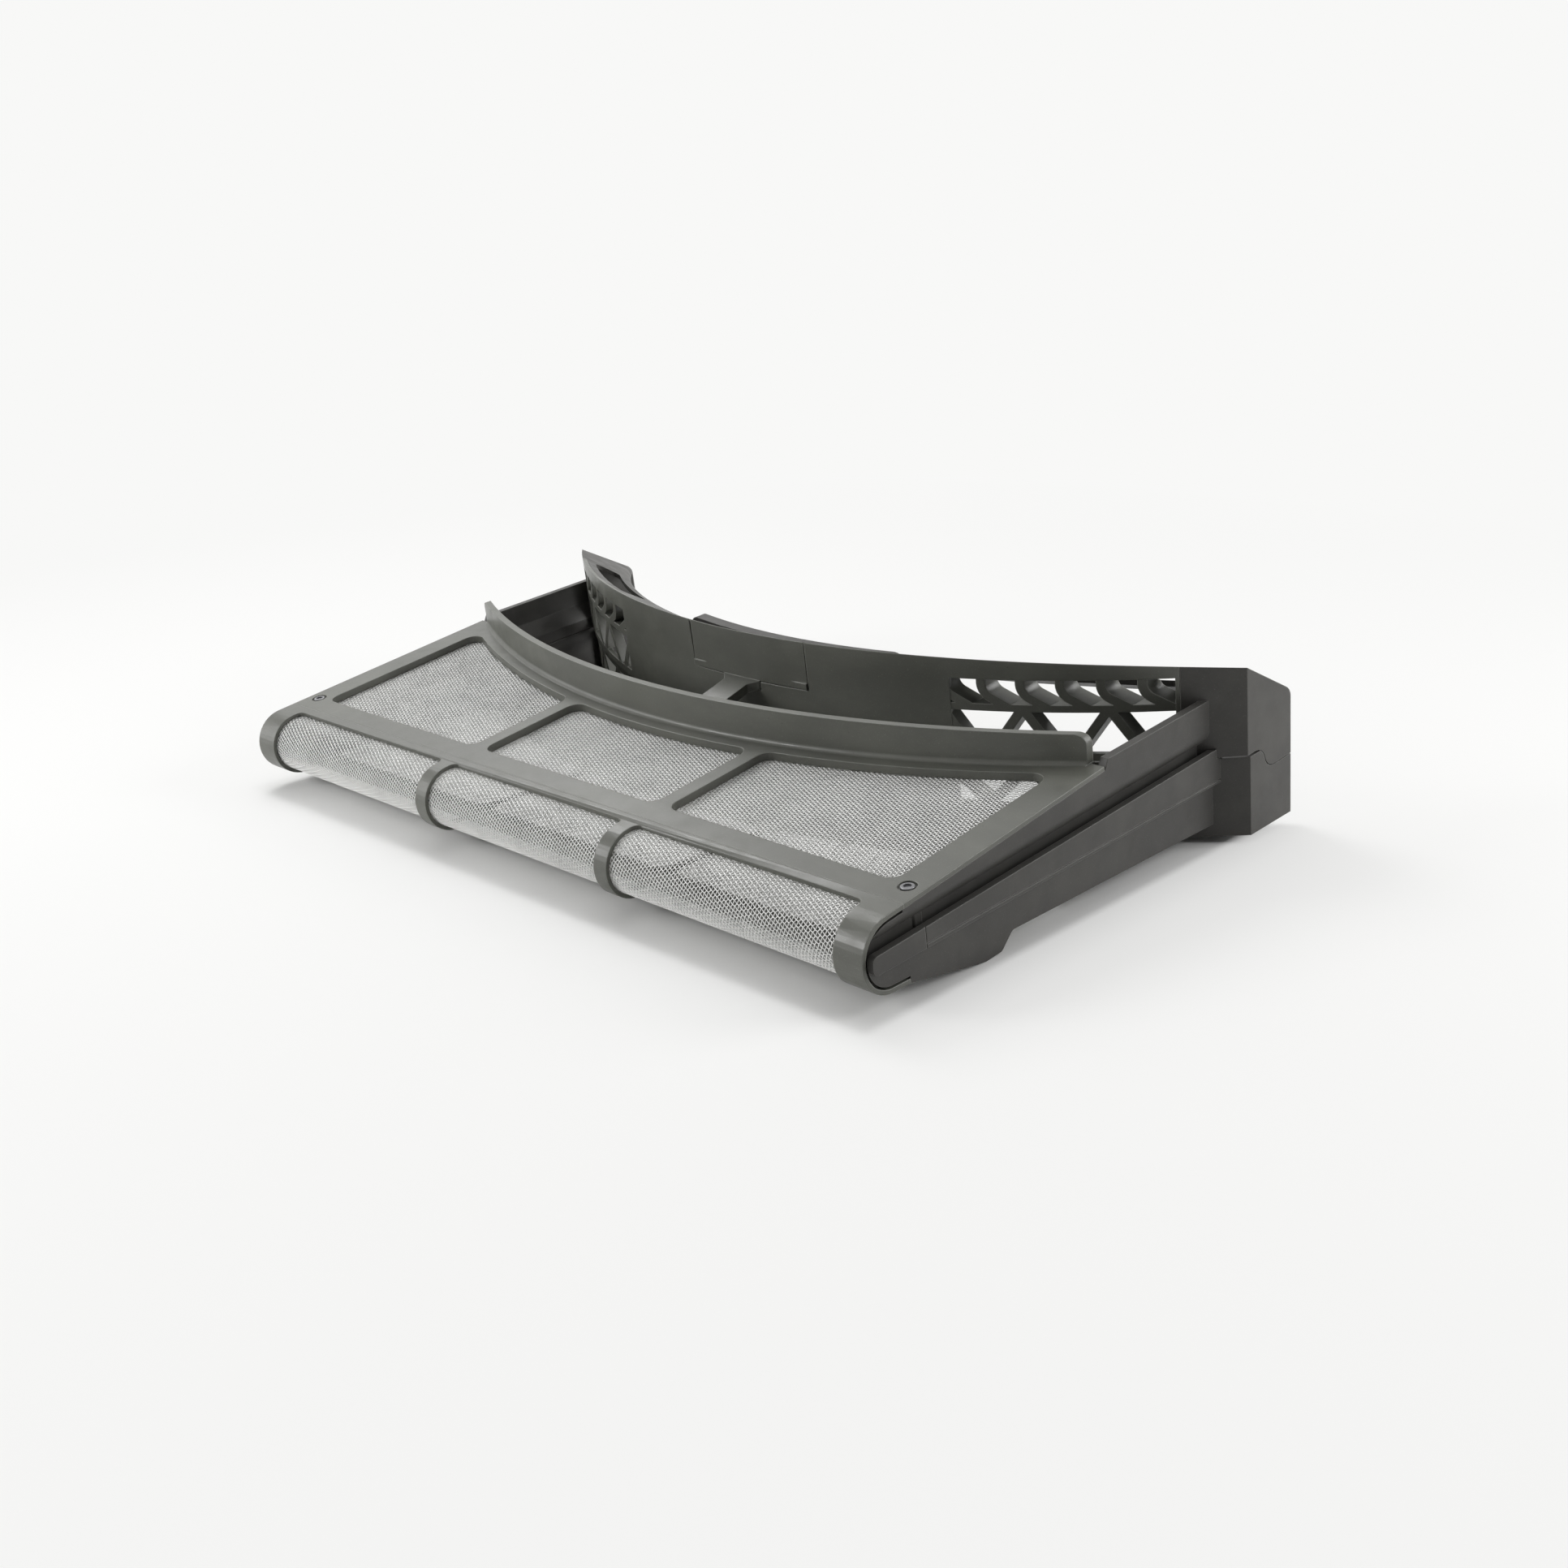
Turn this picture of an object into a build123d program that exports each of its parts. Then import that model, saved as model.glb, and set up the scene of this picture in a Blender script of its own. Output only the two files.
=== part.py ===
"""Tumble dryer lint filter: two mesh halves joined by a flexible nose, with a grilled mouth."""

import os
from math import asin, atan2, cos, degrees, hypot, radians, sin, sqrt, tan

from build123d import *

os.makedirs("parts", exist_ok=True)

# Sizes are in millimetres. Each piece is drawn with X across the filter, Y from the nose back to
# the mouth along the plane where the halves meet, and Z square to that plane. At the end every
# piece is tilted into the pose in which the filter lies on a table.

# Body
HALF_WIDTH = 170.0
NOSE_RADIUS = 12.6
UPPER_SLOPE = radians(3.7)
LOWER_SLOPE = radians(4.5)
PLATE = 1.5
SIDE_WALL = 3.0
SPLIT_GAP = 0.3
CLEAR = 0.4
SEAT = 0.1

# Panel frames
FRAME_START = 7.0
WINDOW_FRONT = 16.2
WINDOW_MARGIN = 11.7
MULLION_SHARE = 0.33
MULLION = 6.5
WINDOW_CORNER = 5.0
WINDOW_BORDER = 5.8
RIM = 2.0

# Mesh
MESH_DEPTH = 3.0
MESH_WALL = 0.5
MESH_MARGIN = 1.4
MESH_GAP = 8.0
MESH_PITCH = 11.0

# Nose strip
NOSE_WINDOW_END = 3.1
NOSE_WINDOW_CORNER = 3.0
NOSE_MESH_GAP = 5.2
NOSE_MESH_PITCH = 11.4
NOSE_MESH_ROWS = (-60, -20, 20, 60)
SLIT = 0.9
SLIT_END = 6.3

# Lip on the upper panel
LIP_Y = 65.8
LIP_RADIUS = 364.2
LIP_WALL = 2.8
LIP_TOP = 30.0
LIP_END = 5.6
LIP_CORNER = 4.0
LIP_ROOT = 1.6
PLATE_END = 106.3

# Mouth band
MOUTH_Y = 109.5
MOUTH_PROUD = 10.2
BAND_RADIUS = 278.0
BAND_DEPTH = 21.0
BAND_TOP = 38.9
BAND_DROP = 6.3
BAND_BOTTOM = 28.1
FLOOR_SLOPE = radians(2.5)
SEAM = 0.9
BAND_WALL = 2.0
BAND_CORNER = 5.0
LOWER_SETBACK = 1.2
END_WALL = 2.4
ROOF_PITCH = radians(31.0)
ROOF_MARGIN = 6.0
GRILLE_INSET = 7.6

# Upper side walls
WALL_TOP = 21.5
WALL_STEP = 2.0
WALL_TUCK = 3.4
COVE_TOP = 10.5
COVE_LOW = 5.2

# Guide rails and feet of the lower half
RAIL_PROUD = 2.2
RAIL_LEDGE = 2.5
RAIL_TOP = 3.4
RAIL_LOW = 2.7
RAIL_SPREAD = 0.041
RAIL_END = 2.0
RAIL_JOINT = 13.0
RAIL_BEAD = 0.9
RAIL_GROOVE = 0.5
CHANNEL = 2.5
FOOT_Y = 41.3
FOOT_DROP = 22.0
FOOT_FLAT = 8.0
FOOT_END = 55.0
FOOT_ROUND = 2.5
WALL_JOINT = 8.4
JOINT_LINE = 0.35
JOINT_DEPTH = 0.4

# Hooked step where the end blocks meet
STEP_SETBACK = 5.2
STEP_LENGTH = 12.0
STEP_DROP = 9.0

# Grilles
GRILLE_START = 90.5
GRILLE_STILE = 1.2
GRILLE_TOP = 30.4
GRILLE_LOW = 3.0
SHELF_TOP = 21.1
SHELF_LOW = 18.4
SHELF_DEPTH = 9.0
VANE = 3.3
VANES = 6
VANE_START = -2.9
VANE_PITCH = 14.15
VANE_DROP = 1.4
VANE_BEND = 6.2
VANE_TURN = radians(60.0)
VANE_DEPTH = 6.5
BAR = 3.4
BARS = 5
BAR_START = -4.5
BAR_PITCH = 15.15
BAR_SINK = 4.5
BAR_DEPTH = 4.6
LOWER_GRILLE_TOP = 4.0
LOWER_GRILLE_LOW = 18.0
ROOF_WINDOW_START = 104.0
ROOF_WINDOW_PROUD = 1.0
ROOF_WINDOW_FRONT = 5.5
ROOF_WINDOW_REAR = 5.0
ROOF_WINDOW_CORNER = 3.0

# Handle bar on the roof
HANDLE_HALF = 58.0
HANDLE_DROP = 8.9
HANDLE_WALL = 5.0
HANDLE_REACH = 2.0
HANDLE_CORNER = 6.0

# Latch lever
LATCH_HALF = 31.4
LATCH_LOW = 19.8
LATCH_TRAVEL = 4.5
LATCH_SLIT = 1.1
PIN_RADIUS = 1.8
PIN_CLEAR = 0.1
PIN_REACH = 3.8
LUG = 3.0
ARM_X = -3.0
ARM_HALF = 6.5
ARM_FLARE = 3.5
ARM_FALL = 5.0
ARM_DEPTH = 3.6
ARM_WALL = 2.5
ARM_REACH = 24.0
HOOK_LOW = 5.4
HOOK_NOSE = 1.8
CATCH = 2.0

# Screws
SCREW_INSET = 6.0
SCREW_Y = 15.6
SCREW_HEAD = 2.3
SCREW_HEIGHT = 0.9
SCREW_SHANK = 1.2
SCREW_LENGTH = 7.0
SCREW_DRIVE = 1.4
SCREW_RECESS = 3.1
RECESS_DEPTH = 0.8
BOSS_RADIUS = 3.4
BOSS_END = 1.5

# Sizes that follow from those above
WINDOW_HALF = HALF_WIDTH - WINDOW_MARGIN
MULLION_X = WINDOW_HALF * MULLION_SHARE
LIP_CENTRE = LIP_Y + LIP_RADIUS
LIP_HALF = HALF_WIDTH - LIP_END
BAND_CENTRE = MOUTH_Y + BAND_RADIUS
MOUTH_HALF = HALF_WIDTH + MOUTH_PROUD
END_FRONT = BAND_CENTRE - sqrt(BAND_RADIUS**2 - MOUTH_HALF**2)
GRILLE_HALF = HALF_WIDTH - GRILLE_INSET
GRILLE_FIRST = degrees(asin(GRILLE_START / BAND_RADIUS))
GRILLE_LAST = degrees(asin((GRILLE_HALF - GRILLE_STILE) / BAND_RADIUS))
GRILLE_EDGE = degrees(CLEAR / BAND_RADIUS)
ROOF_WINDOW_FIRST = degrees(asin(ROOF_WINDOW_START / BAND_RADIUS))
ROOF_WINDOW_LAST = degrees(asin((GRILLE_HALF + ROOF_WINDOW_PROUD) / BAND_RADIUS))
STEP_START = END_FRONT + STEP_SETBACK
STEP_END = STEP_START + STEP_LENGTH
SCREW_X = HALF_WIDTH - SCREW_INSET
WINDOW_RADIUS = LIP_RADIUS + WINDOW_BORDER
LIP_REAR = LIP_RADIUS - LIP_WALL
INNER_WALL = HALF_WIDTH - SIDE_WALL
NOSE_INNER = NOSE_RADIUS - PLATE - SLIT
LOWER_RADIUS = BAND_RADIUS - LOWER_SETBACK
BAND_REAR = BAND_RADIUS - BAND_DEPTH
HANDLE_TOP = BAND_TOP - HANDLE_DROP
FLOOR_FRONT = BAND_CENTRE - LOWER_RADIUS
PIN_Z = LATCH_LOW - 0.5
PIN_Y = BAND_CENTRE - sqrt((BAND_RADIUS - BAND_WALL) ** 2 - (LATCH_HALF + PIN_REACH) ** 2) + PIN_RADIUS + CLEAR
TALL = 120.0
DIAGONAL = radians(45)
MIDDLE_WIDTH = 2 * MULLION_X - MULLION
SIDE_WIDTH = WINDOW_HALF - MULLION_X - MULLION / 2
SIDE_CENTRE = WINDOW_HALF - SIDE_WIDTH / 2
WINDOWS = {
    "left": (-SIDE_CENTRE, SIDE_WIDTH),
    "middle": (0.0, MIDDLE_WIDTH),
    "right": (SIDE_CENTRE, SIDE_WIDTH),
}

# The filter rests on the front edge of the band's floor and on the tips of its feet
REST_TILT = atan2(BAND_BOTTOM - FOOT_DROP, FLOOR_FRONT - FOOT_Y)
REST_Z = FOOT_DROP * cos(REST_TILT) - FOOT_Y * sin(REST_TILT)
REAR = BAND_CENTRE - sqrt(BAND_REAR**2 - MOUTH_HALF**2)
REAR_LOW = BAND_BOTTOM + (REAR - FLOOR_FRONT) * tan(FLOOR_SLOPE)
REST_Y = (NOSE_RADIUS - REAR * cos(REST_TILT) - REAR_LOW * sin(REST_TILT)) / 2
REST = Location((0, REST_Y, REST_Z), (degrees(REST_TILT), 0, 0))


def face_height(y, slope):
    """Height of a panel's outer face over the split plane."""
    return NOSE_RADIUS / cos(slope) + y * tan(slope)


def slab(side, slope, outer, inner, start, end):
    """Side profile of the layer between two depths under a panel's outer face."""
    near = face_height(start, slope)
    far = face_height(end, slope)
    outer = outer / cos(slope)
    inner = inner / cos(slope)
    return [
        (start, side * (near - outer)),
        (end, side * (far - outer)),
        (end, side * (far - inner)),
        (start, side * (near - inner)),
    ]


def across(points, half):
    """Side profile extruded across the filter."""
    with BuildPart(mode=Mode.PRIVATE) as body:
        with BuildSketch(Plane.YZ):
            Polygon(*points, align=None)
        extrude(amount=half, both=True)
    return body.part


def ring(outer, inner, half):
    """Plan of the front stretch of a ring round the band's axis."""
    with BuildSketch(mode=Mode.PRIVATE) as plan:
        with Locations((0, BAND_CENTRE)):
            Circle(outer)
            Circle(inner, mode=Mode.SUBTRACT)
            Rectangle(2 * half, outer, align=(Align.CENTER, Align.MAX), mode=Mode.INTERSECT)
    return plan.sketch


def sector(outer, inner, first, last):
    """Plan of a ring between two angles from the centre plane, on both sides of it."""
    reach = 2 * outer
    with BuildSketch(mode=Mode.PRIVATE) as plan:
        with Locations((0, BAND_CENTRE)):
            Circle(outer)
            Circle(inner, mode=Mode.SUBTRACT)
        with BuildSketch(mode=Mode.PRIVATE) as wedge:
            Polygon(
                (0, BAND_CENTRE),
                (reach * sin(radians(first)), BAND_CENTRE - reach * cos(radians(first))),
                (reach * sin(radians(last)), BAND_CENTRE - reach * cos(radians(last))),
                align=None,
            )
            mirror(about=Plane.YZ)
        add(wedge.sketch, mode=Mode.INTERSECT)
    return plan.sketch


def upright(plan, low, high):
    """Plan extruded between two heights."""
    with BuildPart(mode=Mode.PRIVATE) as body:
        extrude(Pos(0, 0, low) * plan, amount=high - low)
    return body.part


def over_roof(drop):
    """All that lies over the mouth's roof, or over a face that much lower."""
    run = END_FRONT - MOUTH_Y
    rise = run * tan(ROOF_PITCH) - BAND_DROP
    radius = (MOUTH_HALF**2 + rise**2) / (2 * rise)
    edge = MOUTH_HALF + ROOF_MARGIN
    low = BAND_TOP - drop
    high = low + radius - sqrt(radius**2 - edge**2)
    with BuildPart(mode=Mode.PRIVATE) as body:
        with BuildSketch(Plane((0, MOUTH_Y, 0), (1, 0, 0), (0, -1, 0))):
            with BuildLine():
                ThreePointArc((-edge, high), (0, low), (edge, high))
                Polyline((edge, high), (edge, high + TALL), (-edge, high + TALL), (-edge, high))
            make_face()
        extrude(amount=1.6 * TALL, dir=(0, cos(ROOF_PITCH), -sin(ROOF_PITCH)), both=True)
    return body.part


def under_floor(rise):
    """All that lies under the band's sloping floor, or under a face that much higher."""
    high = rise - BAND_BOTTOM
    reach = BAND_CENTRE * tan(FLOOR_SLOPE)
    points = [
        (FLOOR_FRONT - BAND_CENTRE, high + reach),
        (FLOOR_FRONT + BAND_CENTRE, high - reach),
        (FLOOR_FRONT + BAND_CENTRE, -2 * TALL),
        (FLOOR_FRONT - BAND_CENTRE, -2 * TALL),
    ]
    return across(points, MOUTH_HALF + CLEAR)


def window_plan(centre, width, grow):
    """Plan of one panel window, grown on all sides."""
    with BuildSketch(mode=Mode.PRIVATE) as plan:
        with Locations((centre, WINDOW_FRONT - grow)):
            Rectangle(width + 2 * grow, LIP_CENTRE, align=(Align.CENTER, Align.MIN))
        with Locations((0, LIP_CENTRE)):
            Circle(WINDOW_RADIUS - grow, mode=Mode.SUBTRACT)
        front = plan.sketch.faces().sort_by(Axis.Y)[0]
        add(front, mode=Mode.REPLACE)
        fillet(plan.vertices(), WINDOW_CORNER + grow)
    return plan.sketch


def nose_profile(radius, end):
    """Side profile of the nose out to a radius, with its flat runs, back to a distance."""
    top = (-radius * sin(UPPER_SLOPE), radius * cos(UPPER_SLOPE))
    low = (-radius * sin(LOWER_SLOPE), -radius * cos(LOWER_SLOPE))
    depth = NOSE_RADIUS - radius
    with BuildSketch(Plane.YZ, mode=Mode.PRIVATE) as profile:
        with BuildLine():
            ThreePointArc(top, (-radius, 0), low)
            Polyline(
                low,
                (end, -face_height(end, LOWER_SLOPE) + depth / cos(LOWER_SLOPE)),
                (end, face_height(end, UPPER_SLOPE) - depth / cos(UPPER_SLOPE)),
                top,
            )
        make_face()
    return profile.sketch


def s_step(shift):
    """Side profile of the hooked step of an end block, with the step's face moved out."""
    start = (STEP_START - shift, 0)
    end = (STEP_END - shift, -STEP_DROP - shift)
    middle = ((start[0] + end[0]) / 2, (start[1] + end[1]) / 2)
    with BuildSketch(Plane.YZ, mode=Mode.PRIVATE) as profile:
        with BuildLine():
            first = TangentArc(start, middle, tangent=(1, 0))
            TangentArc(middle, end, tangent=first % 1)
            Polyline(end, (REAR, end[1]), (REAR, BAND_WALL), (start[0], BAND_WALL), start)
        make_face()
    return profile.sketch


def panel_frame(side, slope, half):
    """Flat frame round the three panel windows, with a rim down to the mesh."""
    with BuildPart(mode=Mode.PRIVATE) as rims:
        add(across(slab(side, slope, PLATE / 2, MESH_DEPTH, FRAME_START, LIP_CENTRE), half))
        with BuildSketch():
            for centre, width in WINDOWS.values():
                add(window_plan(centre, width, RIM))
        extrude(amount=side * TALL, mode=Mode.INTERSECT)
    with BuildPart(mode=Mode.PRIVATE) as frame:
        add(across(slab(side, slope, 0, PLATE, FRAME_START, LIP_CENTRE), half))
        with BuildSketch():
            with Locations((0, LIP_CENTRE)):
                Circle(LIP_REAR)
        extrude(amount=side * TALL, mode=Mode.SUBTRACT)
        add(rims.part)
        with BuildSketch():
            for centre, width in WINDOWS.values():
                add(window_plan(centre, width, 0))
        extrude(amount=side * TALL, mode=Mode.SUBTRACT)
        floor = side * (face_height(SCREW_Y, slope) - RECESS_DEPTH)
        with BuildSketch(Plane.XY.offset(floor)):
            with Locations((-SCREW_X, SCREW_Y), (SCREW_X, SCREW_Y)):
                Circle(SCREW_RECESS)
        extrude(amount=side * TALL, mode=Mode.SUBTRACT)
        with BuildSketch():
            with Locations((-SCREW_X, SCREW_Y), (SCREW_X, SCREW_Y)):
                Circle(SCREW_SHANK + CLEAR)
        extrude(amount=side * TALL, mode=Mode.SUBTRACT)
    return frame.part


def panel_mesh(side, slope, centre, width):
    """Mesh sheet under one panel window, with a coarse field of bias gaps."""
    half_gap = MESH_GAP / sqrt(2) + MESH_MARGIN
    spots = []
    for row in range(-12, 13):
        for column in range(-12, 13):
            x = centre + (column - row) * MESH_PITCH / sqrt(2)
            y = WINDOW_FRONT + (column + row) * MESH_PITCH / sqrt(2)
            inside = abs(x - centre) < width / 2 - half_gap
            behind = y > WINDOW_FRONT + half_gap
            if inside and behind and hypot(x, LIP_CENTRE - y) > WINDOW_RADIUS + half_gap:
                spots.append((x, y))
    with BuildPart(mode=Mode.PRIVATE) as mesh:
        add(across(slab(side, slope, MESH_DEPTH, MESH_DEPTH + MESH_WALL, 0, LIP_CENTRE), HALF_WIDTH))
        extrude(window_plan(centre, width, MESH_MARGIN), amount=side * TALL, mode=Mode.INTERSECT)
        with BuildSketch():
            with Locations(*spots):
                Rectangle(MESH_GAP, MESH_GAP, rotation=45)
        extrude(amount=side * TALL, mode=Mode.SUBTRACT)
    return mesh.part


def nose_mesh(centre, width):
    """Mesh sheet behind one nose window."""
    outer = NOSE_RADIUS - PLATE - SEAT / 2
    columns = int((width - 2 * MESH_MARGIN) / NOSE_MESH_PITCH)
    planes = []
    for row, angle in enumerate(NOSE_MESH_ROWS):
        out = (0, -cos(radians(angle)), sin(radians(angle)))
        shift = row % 2 * NOSE_MESH_PITCH / 2
        for column in range(columns):
            x = centre + (column - columns / 2) * NOSE_MESH_PITCH + shift
            if abs(x - centre) < width / 2 - NOSE_MESH_GAP:
                planes.append(Plane((x, outer * out[1], outer * out[2]), (1, 0, 0), out))
    with BuildPart(mode=Mode.PRIVATE) as mesh:
        extrude(nose_profile(outer, NOSE_WINDOW_END + MESH_MARGIN), amount=HALF_WIDTH, both=True)
        extrude(
            nose_profile(outer - MESH_WALL, FRAME_START),
            amount=HALF_WIDTH,
            both=True,
            mode=Mode.SUBTRACT,
        )
        with Locations((centre, 0, 0)):
            Box(width + 2 * MESH_MARGIN, TALL, TALL, mode=Mode.INTERSECT)
        with BuildSketch(*planes):
            Rectangle(NOSE_MESH_GAP, NOSE_MESH_GAP, rotation=45)
        extrude(amount=3 * MESH_WALL, both=True, mode=Mode.SUBTRACT)
    return mesh.part


def boss(side, slope):
    """Pair of screw pillars that stop at the frame's underside."""
    with BuildPart(mode=Mode.PRIVATE) as pillars:
        with BuildSketch(Plane.XY.offset(side * BOSS_END)):
            with Locations((-SCREW_X, SCREW_Y), (SCREW_X, SCREW_Y)):
                Circle(BOSS_RADIUS)
        extrude(amount=side * TALL)
        add(across(slab(side, slope, -TALL, PLATE, -TALL, TALL), HALF_WIDTH), mode=Mode.SUBTRACT)
        add(across(slab(side, slope, PLATE, 2 * TALL, 0, TALL), INNER_WALL + SEAT), mode=Mode.INTERSECT)
    return pillars.part


def screw_holes(side):
    """Blind holes for the screws."""
    with BuildPart(mode=Mode.PRIVATE) as holes:
        with BuildSketch(Plane.XY.offset(side * 2 * BOSS_END)):
            with Locations((-SCREW_X, SCREW_Y), (SCREW_X, SCREW_Y)):
                Circle(SCREW_SHANK + SEAT)
        extrude(amount=side * TALL)
    return holes.part


def screw(side, slope, x):
    """Pan head screw with a star drive, standing square to the split plane."""
    seat = face_height(SCREW_Y, slope) - RECESS_DEPTH
    with BuildPart(mode=Mode.PRIVATE) as body:
        with Locations((x, SCREW_Y, side * seat)):
            Cylinder(SCREW_HEAD, SCREW_HEIGHT, align=(Align.CENTER, Align.CENTER, Align.MIN))
        if side < 0:
            mirror(about=Plane.XY.offset(-seat), mode=Mode.REPLACE)
        crown = body.edges().filter_by(GeomType.CIRCLE).sort_by(Axis.Z)
        fillet(crown[-1] if side > 0 else crown[0], SCREW_HEIGHT / 3)
        with BuildSketch(Plane.XY.offset(side * (seat + SCREW_HEIGHT / 3))):
            with Locations((x, SCREW_Y)):
                RegularPolygon(SCREW_DRIVE, 6)
                RegularPolygon(SCREW_DRIVE, 6, rotation=30)
        extrude(amount=side * SCREW_HEIGHT, mode=Mode.SUBTRACT)
        with BuildSketch(Plane.XY.offset(side * seat)):
            with Locations((x, SCREW_Y)):
                Circle(SCREW_SHANK)
        extrude(amount=-side * SCREW_LENGTH)
    return body.part


def zigzag(radius, top, low, sink):
    """Zigzag bars of one grille, on the right of the centre plane, that aim at points sunk under it."""
    half = BAR_PITCH / 2
    with BuildPart(mode=Mode.PRIVATE) as bars:
        for index in range(BARS):
            angle = radians(GRILLE_FIRST) + (BAR_START + (index + 0.5) * BAR_PITCH) / radius
            ends = (top, low - sink) if index % 2 == 0 else (low - sink, top)
            middle = ((radius + 1) * sin(angle), BAND_CENTRE - (radius + 1) * cos(angle), 0)
            facing = Plane(middle, (cos(angle), sin(angle), 0), (sin(angle), -cos(angle), 0))
            with BuildSketch(facing):
                with BuildLine():
                    Line((-half, ends[0]), (half, ends[1]))
                trace(line_width=BAR)
            extrude(amount=4 * BAR_DEPTH, dir=(0, 1, 0))
        front = radius - SEAT
        limits = sector(front, front - BAR_DEPTH, GRILLE_FIRST - GRILLE_EDGE, GRILLE_LAST + GRILLE_EDGE)
        add(upright(limits, low, top), mode=Mode.INTERSECT)
    return bars.part


# Upper panel frame: flat plate with three windows and the curved lip that stands on its rear edge
with BuildPart() as lip:
    with BuildSketch(Plane.XZ) as lip_front:
        with Locations((0, LIP_TOP)):
            Rectangle(2 * LIP_HALF, TALL, align=(Align.CENTER, Align.MAX))
        fillet(lip_front.vertices().group_by(Axis.Y)[-1], LIP_CORNER)
    extrude(amount=-LIP_CENTRE)
    with BuildSketch():
        with Locations((0, LIP_CENTRE)):
            Circle(LIP_RADIUS)
            Circle(LIP_REAR, mode=Mode.SUBTRACT)
    extrude(amount=TALL, both=True, mode=Mode.INTERSECT)
    add(across(slab(1, UPPER_SLOPE, -TALL, PLATE / 2, 0, LIP_CENTRE), HALF_WIDTH), mode=Mode.INTERSECT)

with BuildPart() as upper_frame:
    add(panel_frame(1, UPPER_SLOPE, HALF_WIDTH))
    add(lip.part)
    lip_foot = (0, LIP_CENTRE - LIP_RADIUS, face_height(LIP_CENTRE - LIP_RADIUS, UPPER_SLOPE))
    fillet(upper_frame.edges().sort_by_distance(lip_foot)[0], LIP_ROOT)
    corner_at = (Align.CENTER, Align.MIN, Align.CENTER)
    corner_width = 2 * (HALF_WIDTH - LIP_HALF - CLEAR)
    with Locations((-HALF_WIDTH, PLATE_END, 0), (HALF_WIDTH, PLATE_END, 0)):
        Box(corner_width, LIP_WALL + BAND_DEPTH, TALL, align=corner_at, mode=Mode.SUBTRACT)

# Lower panel frame: the same plate without a lip, let in between the side walls
with BuildPart() as lower_frame:
    add(panel_frame(-1, LOWER_SLOPE, INNER_WALL - SEAT))

# Mesh sheets of the six panel windows and the three nose windows
upper_meshes = {}
lower_meshes = {}
nose_meshes = {}
for name, (centre, width) in WINDOWS.items():
    with BuildPart() as upper_meshes[name]:
        add(panel_mesh(1, UPPER_SLOPE, centre, width))
    with BuildPart() as lower_meshes[name]:
        add(panel_mesh(-1, LOWER_SLOPE, centre, width))
    with BuildPart() as nose_meshes[name]:
        add(nose_mesh(centre, width))

# Nose strip: the flexible band that joins the two frames round the front
with BuildPart() as nose_strip:
    extrude(nose_profile(NOSE_RADIUS, FRAME_START), amount=HALF_WIDTH, both=True)
    extrude(
        nose_profile(NOSE_RADIUS - PLATE, FRAME_START + PLATE),
        amount=HALF_WIDTH,
        both=True,
        mode=Mode.SUBTRACT,
    )
    with BuildSketch() as nose_windows:
        for centre, width in WINDOWS.values():
            with Locations((centre, NOSE_WINDOW_END)):
                Rectangle(width, 2 * NOSE_RADIUS, align=(Align.CENTER, Align.MAX))
        fillet(nose_windows.vertices().group_by(Axis.Y)[-1], NOSE_WINDOW_CORNER)
    extrude(amount=TALL, both=True, mode=Mode.SUBTRACT)

# Upper half body: side walls tucked in behind the rails
step_y = PLATE_END + CLEAR
with BuildPart() as upper_walls:
    with BuildSketch(Plane.XZ):
        with BuildLine():
            Line((HALF_WIDTH, TALL), (HALF_WIDTH, COVE_TOP))
            TangentArc((HALF_WIDTH, COVE_TOP), (HALF_WIDTH - WALL_TUCK, COVE_LOW), tangent=(0, -1))
            Polyline(
                (HALF_WIDTH - WALL_TUCK, COVE_LOW),
                (HALF_WIDTH - WALL_TUCK, SPLIT_GAP / 2),
                (INNER_WALL - WALL_TUCK, SPLIT_GAP / 2),
                (INNER_WALL - WALL_TUCK, COVE_LOW),
                (INNER_WALL, COVE_TOP + SIDE_WALL / 2),
                (INNER_WALL, TALL),
                (HALF_WIDTH, TALL),
            )
        make_face()
    extrude(amount=BAND_CENTRE, both=True)
    with BuildSketch(Plane.YZ):
        with BuildLine():
            tangent = (-NOSE_INNER * sin(UPPER_SLOPE), NOSE_INNER * cos(UPPER_SLOPE))
            ThreePointArc((-NOSE_INNER, 0), (-NOSE_INNER * cos(DIAGONAL), NOSE_INNER * sin(DIAGONAL)), tangent)
            under = PLATE / cos(UPPER_SLOPE)
            Polyline(
                tangent,
                (SLIT_END, face_height(SLIT_END, UPPER_SLOPE) - (PLATE + SLIT) / cos(UPPER_SLOPE)),
                (SLIT_END, face_height(SLIT_END, UPPER_SLOPE) - under),
                (step_y, face_height(step_y, UPPER_SLOPE) - under),
                (step_y + WALL_STEP, WALL_TOP),
                (BAND_CENTRE, WALL_TOP),
                (BAND_CENTRE, 0),
                (-NOSE_INNER, 0),
            )
        make_face()
    extrude(amount=2 * HALF_WIDTH, mode=Mode.INTERSECT)
    with BuildSketch():
        with Locations((0, BAND_CENTRE)):
            Circle(BAND_RADIUS - BAND_WALL / 2)
    extrude(amount=TALL, both=True, mode=Mode.SUBTRACT)
    mirror(about=Plane.YZ)

# Hollow inside the mouth band of the upper half
with BuildPart() as upper_space:
    add(upright(ring(BAND_RADIUS - BAND_WALL, BAND_REAR - TALL / 2, MOUTH_HALF - END_WALL), -1, TALL))
    add(over_roof(BAND_WALL / cos(ROOF_PITCH)), mode=Mode.SUBTRACT)

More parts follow.
